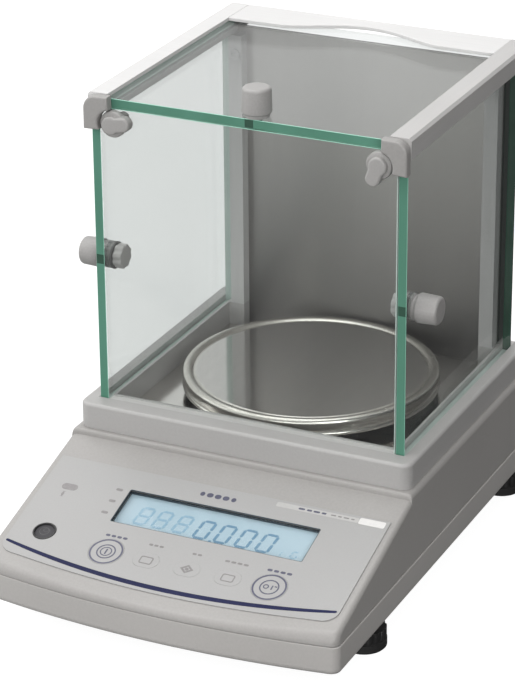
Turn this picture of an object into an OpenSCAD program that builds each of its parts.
// Laboratory analytical balance with a sliding glass draught shield.
// Millimetres. Origin at the bottom centre of the whole object, +Z up, -Y towards the user.

/* [Case] */
// Width of the case at its foot
case_w = 168; // [160:1:180]
// Depth of the case from the bowed front to the back
case_d = 242; // [236:1:260]
// How far the front bows forward between its corners
front_bow = 7.5; // [4:0.5:12]
// Height of the case underside above the table
foot_gap = 12; // [11:0.5:14]
// Height of the joint between the lower and the upper case
parting_z = 26; // [25:0.5:28]
// Height of the flat deck that carries the draught shield
deck_z = 58; // [56:1:62]
// Slope of the control panel
panel_slope = 16.75; // [14:0.25:18]
// Wall thickness of both case halves
wall = 2.5; // [2:0.25:3]

/* [Pan] */
// Diameter of the weighing pan
pan_d = 118; // [110:1:120]
// Height of the pan's rim above the table
pan_z = 71.4; // [71:0.1:74]
// Height of the pan's skirt
pan_skirt = 8; // [6:0.5:8]
// Distance of the pan's centre behind the middle of the case
pan_y = 45.5; // [44:0.5:46]

/* [Draught shield] */
// Width of the shield's base frame
shield_w = 160; // [158:1:162]
// Height of the base frame above the deck
shield_base_h = 12; // [11:0.5:13]
// Thickness of every glass panel
glass_t = 4; // [3:0.5:4]
// Distance of each side door's outer face from the middle
door_x = 73.7; // [73:0.1:74]
// Height of the shield's top rails above the table
rail_z = 214; // [200:1:240]
// Diameter of the three glass knobs
knob_d = 13.2; // [11:0.2:13.2]

/* [Controls] */
// Sideways offset of the display and its keys
panel_x = 6.4; // [0:0.1:8]
// Spacing of the five keys
key_pitch = 19.2; // [18.5:0.1:19.5]
// Travel of a key
key_travel = 0.6; // [0.4:0.1:0.7]
// Visible width of the display
lcd_w = 91; // [70:0.5:91]
// Visible height of the display
lcd_h = 21; // [16:0.5:21]

/* [Hidden] */
$fn = 64;

body_grey = [0.74, 0.73, 0.71];
trim_grey = [0.80, 0.80, 0.78];
dark_grey = [0.35, 0.35, 0.34];
black = [0.08, 0.08, 0.08];
metal = [0.72, 0.72, 0.70];
board_green = [0.10, 0.35, 0.20];
glass_green = [0.55, 0.80, 0.70, 0.4];

// Case outline
case_front = -case_d / 2;
case_back = case_d / 2;
front_r = 4;
back_r = 9;
side_draft = 1.7;

// Control panel: its plane runs through [panel_y0, panel_z0], below the deck's front edge
panel_y0 = -30;
panel_z0 = deck_z - 2;
ledge_y = -32.5;
overlay_t = 0.5;
overlay_w = 158;
overlay_s0 = 18;
overlay_s1 = 79;
lcd_s = 40.5;
key_s = 69;
ring_key_r = 7.8;
small_key_w = 12;
small_key_r = 4.3;
level_x = -64;
level_s = 64.8;
level_r = 5.2;
shell_n = wall * cos(panel_slope);
board_d = -9.6;
board_t = 1.6;
board_mid_s = 55;

// Base frame of the shield and the chamber inside it
frame_top = deck_z + shield_base_h;
floor_t = 1;
chamber_floor = deck_z + floor_t;
frame_front = -30;
frame_back = 120;
recess_x = 68.2;
recess_front = -15.5;
recess_back = 108;
groove_in = door_x - glass_t - 0.4;
groove_out = door_x + 0.4;
groove_floor = frame_top - 3.5;
pan_hole_r = 20;

// Glass panels, posts and rails
glass_bottom = frame_top - 3;
door_front = -20.7;
door_back = 108;
rail_h = 9.2;
rail_in = 65.5;
rail_out = 75.2;
rail_low = rail_z - rail_h;
door_top = rail_low + 2.7;
lid_z = rail_z - 6;
lid_half_w = 67.2;
door_knob_z = 135.2;
door_knob_y = -10.5;
lid_knob_x = 2.5;
lid_knob_y = -15.3;
door_knob_len = 11.6;
lid_knob_len = 13;
grip_len = 5.4;
shaft_r = 2.4;
latch_x = 62;
latch_z = rail_low - 3.3;
latch_r = 6;
post_in = 60.3;
post_out = 67.1;
post_front = 100.5;
wall_front = 106.5;
bar_front = 98;
bar_notch = 12.5;
bar_notch_w = 39;

// Feet
foot_x = 74;
foot_front_y = -64;
foot_back_y = 99;
foot_r = 10;
stud_r = 3;

// Weighing cell
cell_z = foot_gap + 6;
block_z = cell_z + 4;
carrier_z = chamber_floor + 1;

// Screw places
foot_xy = [[-foot_x, foot_front_y], [foot_x, foot_front_y], [-foot_x, foot_back_y],
    [foot_x, foot_back_y]];
case_screw_xy = [for (x = [-66, 66], y = [-78, 112]) [x, y]];
cell_screw_xy = [for (x = [-22, 22], y = [pan_y - 42, pan_y + 36]) [x, y]];
board_screw_xy = [for (x = [-34, 50], y = [95, 113]) [x, y]];
display_screw_xs = [for (x = [-52.5, 52.5], s = [33, 78]) [panel_x + x, s]];
shield_screw_xy = [for (x = [-77, 77], y = [-8, 96]) [x, y]];
post_screw_xz = [for (x = [-63.7, 63.7]) [x, rail_low - 9]];

// Places a child on the panel plane: x across, s down the slope, d above the plane
module on_panel(x, s, d = 0) {
    translate([x, panel_y0, panel_z0]) rotate([panel_slope, 0, 0]) translate([0, -s, d])
        children();
}

// Points of the case outline seen from above, pulled in by g on every side
function front_y(x, g) = case_front + g + front_bow * pow(x / (case_w / 2), 2);
function arc(cx, cy, r, a0, a1, n) = [for (i = [0 : n]) let (a = a0 + (a1 - a0) * i / n)
    [cx + r * cos(a), cy + r * sin(a)]];
function case_outline(g) = let (
    hw = case_w / 2 - g,
    fr = front_r,
    fx = hw - fr,
    fy = front_y(fx, g) + fr,
    br = back_r - g,
    by = case_back - g - br)
    concat([for (i = [-10 : 10]) [i / 10 * fx, front_y(i / 10 * fx, g)]],
        arc(fx, fy, fr, -75, 0, 5), arc(hw - br, by, br, 0, 90, 6),
        arc(-hw + br, by, br, 90, 180, 6), arc(-fx, fy, fr, 180, 255, 5));

module slab(g, z0, z1) {
    translate([0, 0, z0]) linear_extrude(z1 - z0) polygon(case_outline(g));
}

// Upright slice of the case: sides lean in, deck on top, sloped panel in front
module case_section(g) {
    intersection() {
        rotate([90, 0, 0]) translate([0, 0, -200]) linear_extrude(400)
            polygon([[-case_w / 2 + g, foot_gap - 1], [case_w / 2 - g, foot_gap - 1],
                [case_w / 2 - g, foot_gap + 2], [case_w / 2 - side_draft - g, deck_z - g],
                [-case_w / 2 + side_draft + g, deck_z - g], [-case_w / 2 + g, foot_gap + 2]]);
        rise = tan(panel_slope);
        ly = ledge_y + (g > 0 ? g : 0);
        lz = panel_z0 + (ly - panel_y0) * rise - g;
        rotate([90, 0, 90]) translate([0, 0, -100]) linear_extrude(200)
            polygon([[130, 0], [130, deck_z - g], [ly, deck_z - g], [ly, lz],
                [ly - 100, lz - 100 * rise], [ly - 100, 0]]);
    }
}

// Openings in the back of the case for the two connectors
module rear_ports() {
    translate([-53.8, case_back - 12.3, parting_z + 3.7]) cube([11.6, 30, 11.6]);
    translate([-8.3, case_back - 12.3, parting_z + 5.7]) cube([17.6, 30, 9.6]);
}

module lower_case() {
    color(body_grey) difference() {
        union() {
            difference() {
                union() {
                    slab(1.5, foot_gap, foot_gap + 1.6);
                    slab(0, foot_gap + 1.5, parting_z - 0.4);
                }
                slab(wall, foot_gap + wall, parting_z + 1);
            }
            for (p = case_screw_xy) translate([p[0], p[1], foot_gap + 1])
                cylinder(r = 5, h = parting_z - foot_gap - 1);
            for (p = foot_xy) translate([p[0], p[1], foot_gap + 1])
                cylinder(r = 8, h = parting_z - foot_gap - 2);
            for (p = cell_screw_xy) translate([p[0], p[1], foot_gap + 1])
                cylinder(r = 5, h = cell_z - foot_gap - 1);
            for (p = board_screw_xy) translate([p[0], p[1], foot_gap + 1])
                cylinder(r = 3.2, h = parting_z + 2.4 - foot_gap - 1);
        }
        for (p = case_screw_xy) translate([p[0], p[1], foot_gap - 1]) {
            cylinder(r = 1.75, h = 40);
            cylinder(r = 3.6, h = 6);
        }
        for (p = foot_xy) translate([p[0], p[1], foot_gap - 1])
            cylinder(r = stud_r + 0.05, h = 40);
        for (p = cell_screw_xy) translate([p[0], p[1], foot_gap - 1]) {
            cylinder(r = 2.05, h = 40);
            cylinder(r = 3.9, h = 3.5);
        }
        for (p = board_screw_xy) translate([p[0], p[1], foot_gap + 5]) cylinder(r = 1.2, h = 20);
    }
}

module upper_case() {
    color(body_grey) difference() {
        union() {
            difference() {
                intersection() {
                    slab(0, parting_z, deck_z);
                    case_section(0);
                }
                intersection() {
                    slab(wall, parting_z - 1, deck_z - wall);
                    case_section(wall);
                }
            }
            for (p = case_screw_xy) translate([p[0], p[1], parting_z])
                cylinder(r = 4, h = p[1] < 0 ? 13.8 : deck_z - parting_z - 1);
            for (p = display_screw_xs) on_panel(p[0], p[1], board_d)
                cylinder(r = 2.2, h = -board_d - 1);
        }
        for (p = case_screw_xy) translate([p[0], p[1], parting_z - 1]) cylinder(r = 1.25, h = 11);
        for (p = display_screw_xs) on_panel(p[0], p[1], board_d - 1) cylinder(r = 1, h = 7);
        translate([0, pan_y, deck_z - 10]) cylinder(r = pan_hole_r, h = 20);
        for (p = shield_screw_xy) translate([p[0], p[1], deck_z - 10]) cylinder(r = 1.75, h = 20);
        on_panel(panel_x, lcd_s, -4) translate([-lcd_w / 2, -lcd_h / 2, 0]) cube([lcd_w, lcd_h, 8]);
        on_panel(panel_x, lcd_s, -1.2) translate([-lcd_w / 2 - 3.2, -lcd_h / 2 - 2.2, 0])
            cube([lcd_w + 6.4, lcd_h + 4.4, 8]);
        for (i = [0 : 4]) on_panel(key_x(i), key_s, -4) key_shape(i, 0.5, 8);
        on_panel(level_x, level_s, -4) cylinder(r = level_r + 0.05, h = 8);
        rear_ports();
    }
}

// A socket screw with its head at the bottom and its shank pointing up
module screw(r, head_r, head_h, len) {
    difference() {
        union() {
            cylinder(r = head_r, h = head_h);
            cylinder(r = r, h = len);
        }
        translate([0, 0, -1]) cylinder(r = head_r * 0.55, h = 1 + head_h * 0.55, $fn = 6);
    }
}

module case_screws() {
    color(metal) for (p = case_screw_xy) translate([p[0], p[1], foot_gap + 2.8])
        screw(1.2, 3.2, 2.2, 20);
}

function key_x(i) = panel_x + (i - 2) * key_pitch;

// Outline of key i, grown by g: the outer two are round, the others are rounded bars
module key_shape(i, g, h) {
    if (i == 0 || i == 4) cylinder(r = ring_key_r + g, h = h);
    if (i > 0 && i < 4) {
        fx = small_key_w / 2 - small_key_r;
        for (sx = [-fx, fx]) translate([sx, 0, 0]) cylinder(r = small_key_r + g, h = h);
        translate([-fx, -small_key_r - g, 0]) cube([2 * fx, 2 * (small_key_r + g), h]);
    }
}

module panel_overlay() {
    r = 7;
    len = overlay_s1 - overlay_s0;
    mid = (overlay_s0 + overlay_s1) / 2;
    color(trim_grey) difference() {
        on_panel(0, mid, 0) union() {
            translate([-overlay_w / 2, -len / 2 + r, 0]) cube([overlay_w, len - r, overlay_t]);
            translate([-overlay_w / 2 + r, -len / 2, 0]) cube([overlay_w - 2 * r, r + 1, overlay_t]);
            for (sx = [-1, 1]) translate([sx * (overlay_w / 2 - r), -len / 2 + r, 0])
                cylinder(r = r, h = overlay_t);
        }
        for (i = [0 : 4]) on_panel(key_x(i), key_s, -1) key_shape(i, 0.35, 3);
        on_panel(level_x, level_s, -1) cylinder(r = level_r + 0.1, h = 3);
        on_panel(panel_x, lcd_s, -1) translate([-lcd_w / 2, -lcd_h / 2, 0]) cube([lcd_w, lcd_h, 3]);
    }
}

module lcd_window() {
    color(glass_green) on_panel(panel_x, lcd_s, -1.2)
        translate([-lcd_w / 2 - 3, -lcd_h / 2 - 2, 0]) cube([lcd_w + 6, lcd_h + 4, 1.2]);
}

module lcd_module() {
    color(dark_grey) on_panel(panel_x, lcd_s, board_d)
        translate([-lcd_w / 2 - 3, -lcd_h / 2 - 2, 0])
        cube([lcd_w + 6, lcd_h + 4, -board_d - shell_n]);
}

module display_board() {
    color(board_green) difference() {
        on_panel(panel_x, board_mid_s, board_d - board_t) translate([-55, -26, 0])
            cube([110, 52, board_t]);
        for (p = display_screw_xs) on_panel(p[0], p[1], board_d - 4) cylinder(r = 1.2, h = 8);
    }
}

module key_switches() {
    color(black) for (i = [0 : 4]) on_panel(key_x(i), key_s, board_d) {
        translate([-3, -3, 0]) cube([6, 6, 3.4]);
        cylinder(r = 1.7, h = 4.3);
    }
}

// A key: its cap, a flange that holds it under the panel and a stem above its switch
module key(i) {
    color(trim_grey) on_panel(key_x(i), key_s, 0) {
        translate([0, 0, -3.2]) key_shape(i, 0, 3.2 + overlay_t + 0.3);
        translate([0, 0, -3.8]) key_shape(i, 1, 1);
        translate([0, 0, board_d + 4.3 + key_travel]) cylinder(r = 1.6, h = 1.5);
    }
}
module key_power() { key(0); }
module key_print() { key(1); }
module key_set() { key(2); }
module key_function() { key(3); }
module key_tare() { key(4); }

module level_holder() {
    color(black) on_panel(level_x, level_s, 0) difference() {
        union() {
            translate([0, 0, -8]) cylinder(r = level_r, h = 8 + overlay_t + 0.2);
            translate([0, 0, -shell_n - 1]) cylinder(r = level_r + 2, h = 1);
        }
        translate([0, 0, -6.5]) cylinder(r = level_r - 0.8, h = 10);
    }
}

module level_vial() {
    color([0.3, 0.3, 0.28]) on_panel(level_x, level_s, -6.5) cylinder(r = level_r - 0.85, h = 6.6);
}

module main_board() {
    bz = parting_z + 2.4;
    color(board_green) difference() {
        translate([-58, 91, bz]) cube([116, 26.5, board_t]);
        for (p = board_screw_xy) translate([p[0], p[1], bz - 1]) cylinder(r = 1.5, h = 10);
    }
    color(black) for (x = [-24, -4, 24]) translate([x, 93, bz + board_t]) cube([13, 12, 2]);
    color(metal) for (x = [-50, -42]) translate([x, 97, bz + board_t]) cylinder(r = 3.5, h = 9);
}

module board_screws() {
    color(metal) {
        for (p = board_screw_xy) translate([p[0], p[1], parting_z + 2.4 + board_t + 1.8])
            mirror([0, 0, 1]) screw(1.15, 2.3, 1.8, 9);
        for (p = display_screw_xs) on_panel(p[0], p[1], board_d - board_t - 1.8)
            screw(0.95, 2.3, 1.8, 8);
    }
}

module dc_inlet() {
    z = parting_z + 4;
    color(black) difference() {
        translate([-53.5, case_back - 12, z]) cube([11, 12, 11]);
        translate([-48, case_back - 9, z + 5.5]) rotate([-90, 0, 0]) cylinder(r = 3.1, h = 20);
    }
    color(metal) translate([-48, case_back - 10, z + 5.5]) rotate([-90, 0, 0])
        cylinder(r = 1, h = 8.5);
}

module serial_port() {
    z = parting_z + 4;
    y = case_back - wall;
    color(metal) difference() {
        union() {
            translate([-15, y - 9, z]) cube([31, 9, 13]);
            translate([-8, y - 9, z + 2]) cube([17, 9 + wall, 9]);
        }
        translate([-7.2, case_back - 6, z + 2.8]) cube([15.4, 20, 7.4]);
    }
    color(black) translate([-5.9, case_back - 6.1, z + 4]) cube([12.8, 4.6, 5]);
}

// Weighing cell: base plate, parallel-guide block with four thin flexures, fork sensor
module cell_base() {
    color(metal) difference() {
        translate([-28, pan_y - 50, cell_z]) cube([56, 94, 4]);
        for (p = cell_screw_xy) translate([p[0], p[1], cell_z - 1]) cylinder(r = 1.7, h = 10);
    }
}

module cell_block() {
    y0 = pan_y - 46;
    color(metal) difference() {
        union() {
            translate([-14, y0, block_z]) cube([28, 20, 24]);
            translate([-14, y0 + 1, block_z + 3]) cube([28, 55, 4]);
            translate([-14, y0 + 1, block_z + 20]) cube([28, 55, 4]);
            translate([-14, y0 + 36, block_z + 3]) cube([28, 20, 21]);
        }
        for (y = [y0 + 23, y0 + 33], z = [block_z + 5, block_z + 22])
            translate([-20, y, z]) rotate([0, 90, 0]) cylinder(r = 1.4, h = 40);
        translate([0, pan_y, block_z + 11]) cylinder(r = 3.05, h = 30);
    }
}

module fork_sensor() {
    y0 = pan_y - 46;
    color([0.6, 0.6, 0.55]) {
        translate([14, y0 + 8, block_z + 12]) cube([5, 10, 3]);
        translate([14, y0 + 38, block_z + 12]) cube([5, 10, 3]);
        for (x = [14.5, 17]) translate([x, y0 + 16, block_z + 12.5]) cube([1.4, 24, 2]);
    }
}

module cell_screws() {
    color(metal) for (p = cell_screw_xy) translate([p[0], p[1], foot_gap + 0.7])
        screw(1.65, 3.6, 1.8, 11);
}

module pan_post() {
    color(metal) translate([0, pan_y, block_z + 11]) {
        cylinder(r = 3, h = carrier_z - 4.9 - block_z - 11 + 1.9);
        translate([0, 0, carrier_z - 4 - block_z - 11]) cylinder(r = 6, h = 3);
    }
}

// Pan carrier: a low cross that sits on the post and holds four rubber pads
module pan_carrier() {
    color(dark_grey) translate([0, pan_y, carrier_z]) difference() {
        union() {
            translate([0, 0, -5]) cylinder(r = 9, h = 6);
            translate([0, 0, -0.5]) cylinder(r = 14, h = 3.2);
            for (a = [45, 135]) rotate([0, 0, a]) translate([-46, -5, 0]) cube([92, 10, 3]);
        }
        translate([0, 0, -6]) cylinder(r = 6.1, h = 5);
    }
}

module pan_pads() {
    z = carrier_z + 3;
    color(black) for (a = [45 : 90 : 315]) translate([0, pan_y, z]) rotate([0, 0, a])
        translate([40, 0, 0]) cylinder(r = 3.5, h = pan_z - 3 - z);
}

module pan() {
    r = pan_d / 2;
    z = pan_skirt;
    color(metal) translate([0, pan_y, pan_z - z]) rotate_extrude($fn = 96)
        polygon([[0, z - 3], [r - 2, z - 3], [r - 1.6, 0], [r - 0.4, 0], [r, 0.5], [r, z - 0.6],
            [r - 0.3, z - 0.1], [r - 0.9, z], [r - 1.6, z - 0.3], [r - 2, z - 1], [0, z - 1]]);
}

module floor_plate() {
    color(metal) difference() {
        translate([-recess_x + 0.2, recess_front + 0.2, deck_z])
            cube([2 * recess_x - 0.4, recess_back - recess_front - 1.9, floor_t]);
        translate([0, pan_y, deck_z - 1]) cylinder(r = pan_hole_r, h = 3);
        for (s = [-1, 1]) translate([s * 66, 104, deck_z - 1]) cube([12.4, 8, 6], center = true);
    }
}

// Base frame: open recess, a slot for the front glass and a groove for each side door
module shield_base() {
    d = recess_back - recess_front;
    color(body_grey) difference() {
        union() {
            difference() {
                translate([-shield_w / 2, frame_front, deck_z])
                    cube([shield_w, frame_back - frame_front, shield_base_h]);
                translate([-recess_x, recess_front, deck_z - 1]) cube([2 * recess_x, d, 30]);
            }
            for (s = [-1, 1]) translate([s < 0 ? -recess_x - 0.5 : post_in, post_front, deck_z])
                cube([recess_x + 0.5 - post_in, wall_front - post_front, shield_base_h]);
        }
        for (s = [-1, 1]) translate([s < 0 ? -groove_out : groove_in, -21.4, groove_floor])
            cube([groove_out - groove_in, 200, 10]);
        translate([-69.4, -21.2, glass_bottom]) cube([138.8, glass_t + 0.4, 10]);
        for (p = shield_screw_xy) translate([p[0], p[1], deck_z - 1]) cylinder(r = 1.55, h = 8.5);
    }
}

module shield_screws() {
    color(black) {
        for (p = shield_screw_xy) translate([p[0], p[1], deck_z - wall - 2]) screw(1.5, 2.6, 2, 10);
        for (p = post_screw_xz) translate([p[0], post_front - 1.2, p[1]]) rotate([-90, 0, 0])
            screw(1.5, 2.6, 1.2, 8.2);
    }
}

module post(s) {
    color(trim_grey) difference() {
        translate([s < 0 ? -post_out : post_in, post_front, frame_top])
            cube([post_out - post_in, wall_front - post_front, rail_low - frame_top]);
        for (p = post_screw_xz) translate([p[0], post_front - 1, p[1]]) rotate([-90, 0, 0])
            cylinder(r = 1.55, h = 20);
    }
}
module post_left() { post(-1); }
module post_right() { post(1); }

module rear_wall() {
    color([0.68, 0.68, 0.66]) difference() {
        union() {
            translate([-67, wall_front, chamber_floor]) cube([134, 1.5, rail_low - chamber_floor]);
            translate([-65.2, wall_front, chamber_floor])
                cube([130.4, 1.5, lid_z - 0.4 - chamber_floor]);
        }
        for (p = post_screw_xz) translate([p[0], post_front, p[1]]) rotate([-90, 0, 0])
            cylinder(r = 1.55, h = 20);
    }
}

// Hollow cover behind the rear wall
module rear_cover() {
    y = wall_front + 1.5;
    h = rail_low - frame_top;
    color(black) difference() {
        translate([-67.5, y, frame_top]) cube([135, 10, h]);
        translate([-65.5, y - 1, frame_top + 2]) cube([131, 9, h - 4]);
    }
}

// Bar that ties the two rails at the back; its front edge leaves room for the lid's knob
module top_bar() {
    n = 12;
    edge = [for (i = [-n : n]) let (x = i / n * bar_notch_w)
        [x, bar_front + bar_notch * pow(cos(90 * i / n), 1.5)]];
    color(trim_grey) translate([0, 0, lid_z + glass_t + 0.3]) linear_extrude(rail_z - lid_z - 4.3)
        polygon(concat([[-rail_in, frame_back], [-rail_in, bar_front]], edge,
            [[rail_in, bar_front], [rail_in, frame_back]]));
}

// Rail of the right side; it guides the lid on its inside and the side door underneath
module rail() {
    lip = lid_z + glass_t + 0.3;
    color(trim_grey) difference() {
        union() {
            translate([rail_in, -21, rail_low]) cube([rail_out - rail_in, 141, rail_h]);
            translate([65.6, -16.7, latch_z - 3.5]) cube([3.3, 1.7, rail_low - latch_z + 4]);
        }
        translate([groove_in, -22, rail_low - 1]) cube([groove_out - groove_in, 150, 4.2]);
        translate([rail_in - 1, -22, lid_z - 0.3]) cube([67.7 - rail_in + 1, 150, lip - lid_z + 0.3]);
        translate([rail_in - 1, -21.3, rail_low - 1]) cube([5, 4.5, lid_z - rail_low + 1]);
        translate([rail_out - 1.2, -22, rail_z]) rotate([0, 45, 0]) cube([3, 150, 3]);
    }
}
module rail_right() { rail(); }
module rail_left() { mirror([1, 0, 0]) rail(); }

module rail_cap() {
    color(trim_grey) difference() {
        translate([63.5, -26, 198.5 - 214 + rail_z]) cube([rail_out - 63.5, 5, 15.3]);
        translate([latch_x, -30, latch_z]) rotate([-90, 0, 0]) cylinder(r = latch_r + 1.2, h = 20);
        translate([rail_out - 3, -27, rail_z]) rotate([0, 45, 0]) cube([6, 10, 6]);
    }
}
module rail_cap_right() { rail_cap(); }
module rail_cap_left() { mirror([1, 0, 0]) rail_cap(); }

module front_glass() {
    x = door_x - glass_t - 0.5;
    z = door_top + 0.2;
    color(glass_green) difference() {
        translate([0, -17, 0]) rotate([90, 0, 0]) linear_extrude(glass_t)
            polygon([[-x, glass_bottom], [x, glass_bottom], [x, z - 5], [x - 5, z],
                [5 - x, z], [-x, z - 5]]);
        for (s = [-1, 1]) translate([s * latch_x, -30, latch_z]) rotate([-90, 0, 0])
            cylinder(r = 2.55, h = 20);
    }
}

// Turn latch of the right side: hub with a thumb grip, shaft and cam behind the glass
module latch(grip_angle) {
    color(trim_grey) translate([latch_x, -21.3, latch_z]) rotate([90, 0, 0]) {
        cylinder(r = latch_r, h = 3);
        rotate([0, 0, grip_angle]) {
            cylinder(r = 4.2, h = 5.2);
            translate([0, -3.3, 0.5]) cube([6, 6.6, 4.7]);
            translate([6, 0, 0.5]) cylinder(r = 3.3, h = 4.7);
        }
        translate([0, 0, -8.6]) cylinder(r = 2.5, h = 9);
        translate([-2.2, -2, -8.6]) cube([8.4, 4, 2.2]);
    }
}
module latch_right() { latch(250); }
module latch_left() { mirror([1, 0, 0]) latch(170); }

module door_glass() {
    color(glass_green) difference() {
        translate([door_x - glass_t, door_front, glass_bottom])
            cube([glass_t, door_back - door_front, door_top - glass_bottom]);
        translate([door_x - 10, door_knob_y, door_knob_z]) rotate([0, 90, 0])
            cylinder(r = shaft_r + 0.4, h = 20);
    }
}
module door_glass_right() { door_glass(); }
module door_glass_left() { mirror([1, 0, 0]) door_glass(); }

// Turned knob standing on glass at z = 0; its shaft is thick to depth d, thin to depth d2
module knob(h, d, d2) {
    r = knob_d / 2;
    rotate_extrude() polygon([[0, -d2], [1.2, -d2], [1.2, -d], [shaft_r, -d], [shaft_r, 0],
        [r - 1, 0], [r - 1, 1.6], [r, 1.9], [r - 0.4, h - 0.8], [r - 1.2, h], [0, h]]);
}
module door_knob() {
    color(trim_grey) translate([door_x, door_knob_y, door_knob_z]) rotate([0, 90, 0])
        knob(door_knob_len, glass_t + 0.6, glass_t + grip_len - 2);
}
module door_knob_right() { door_knob(); }
module door_knob_left() { mirror([1, 0, 0]) door_knob(); }

// Lobed nut on the inside of a side door
module door_grip() {
    color(trim_grey) translate([door_x - glass_t - grip_len, door_knob_y, door_knob_z])
        rotate([0, 90, 0]) difference() {
            union() {
                cylinder(r = 5.7, h = grip_len - 1.4);
                translate([0, 0, grip_len - 1.4]) cylinder(r = 6.2, h = 1.4);
            }
            for (a = [0 : 45 : 315]) rotate([0, 0, a]) translate([6.4, 0, -1])
                cylinder(r = 1.5, h = 20);
            translate([0, 0, 1.5]) cylinder(r = 1.25, h = 10);
            translate([0, 0, grip_len - 0.7]) cylinder(r = shaft_r + 0.05, h = 10);
        }
}
module door_grip_right() { door_grip(); }
module door_grip_left() { mirror([1, 0, 0]) door_grip(); }

module lid_glass() {
    color(glass_green) difference() {
        translate([-lid_half_w, door_front, lid_z])
            cube([2 * lid_half_w, door_back - door_front, glass_t]);
        translate([lid_knob_x, lid_knob_y, lid_z - 5]) cylinder(r = shaft_r + 0.1, h = 20);
        translate([lid_knob_x, lid_knob_y, lid_z - 0.01])
            cylinder(r1 = 3.8, r2 = shaft_r + 0.1, h = 1.7);
    }
}

module lid_knob() {
    color(trim_grey) translate([lid_knob_x, lid_knob_y, lid_z + glass_t])
        knob(lid_knob_len, glass_t - 1.7, glass_t - 0.3);
}

// Countersunk nut, flush with the underside of the lid
module lid_nut() {
    color(metal) translate([lid_knob_x, lid_knob_y, lid_z]) difference() {
        cylinder(r1 = 3.7, r2 = 2.4, h = 1.6);
        translate([0, 0, -1]) cylinder(r = 1.25, h = 10);
    }
}

// Levelling foot: a rubber pad that slides with the screw, and a knurled wheel with a stud
module foot_pad(p) {
    color(black) translate([p[0], p[1], 0]) difference() {
        union() {
            cylinder(r = foot_r - 0.6, h = 4.6);
            translate([0, 0, 0.6]) cylinder(r = foot_r, h = 3.6);
        }
        translate([0, 0, 2]) cylinder(r = stud_r + 0.05, h = 10);
    }
}
module foot_pad_fl() { foot_pad(foot_xy[0]); }
module foot_pad_fr() { foot_pad(foot_xy[1]); }
module foot_pad_rl() { foot_pad(foot_xy[2]); }
module foot_pad_rr() { foot_pad(foot_xy[3]); }

module foot_screw(p) {
    color(black) translate([p[0], p[1], 2]) {
        cylinder(r = stud_r, h = 22);
        translate([0, 0, 2.6]) difference() {
            cylinder(r = foot_r - 0.2, h = 4.6);
            for (a = [0 : 20 : 340]) rotate([0, 0, a]) translate([foot_r + 0.6, 0, -1])
                cylinder(r = 1.3, h = 10);
        }
    }
}
module foot_screw_fl() { foot_screw(foot_xy[0]); }
module foot_screw_fr() { foot_screw(foot_xy[1]); }
module foot_screw_rl() { foot_screw(foot_xy[2]); }
module foot_screw_rr() { foot_screw(foot_xy[3]); }

lower_case();
upper_case();
case_screws();
panel_overlay();
lcd_window();
lcd_module();
display_board();
key_switches();
key_power();
key_print();
key_set();
key_function();
key_tare();
level_holder();
level_vial();
main_board();
board_screws();
dc_inlet();
serial_port();
cell_base();
cell_block();
fork_sensor();
cell_screws();
pan_post();
pan_carrier();
pan_pads();
pan();
floor_plate();
shield_base();
shield_screws();
post_left();
post_right();
rear_wall();
rear_cover();
top_bar();
rail_left();
rail_right();
rail_cap_left();
rail_cap_right();
front_glass();
latch_left();
latch_right();
door_glass_left();
door_knob_left();
door_grip_left();
door_glass_right();
door_knob_right();
door_grip_right();
lid_glass();
lid_knob();
lid_nut();
foot_pad_fl();
foot_pad_fr();
foot_pad_rl();
foot_pad_rr();
foot_screw_fl();
foot_screw_fr();
foot_screw_rl();
foot_screw_rr();
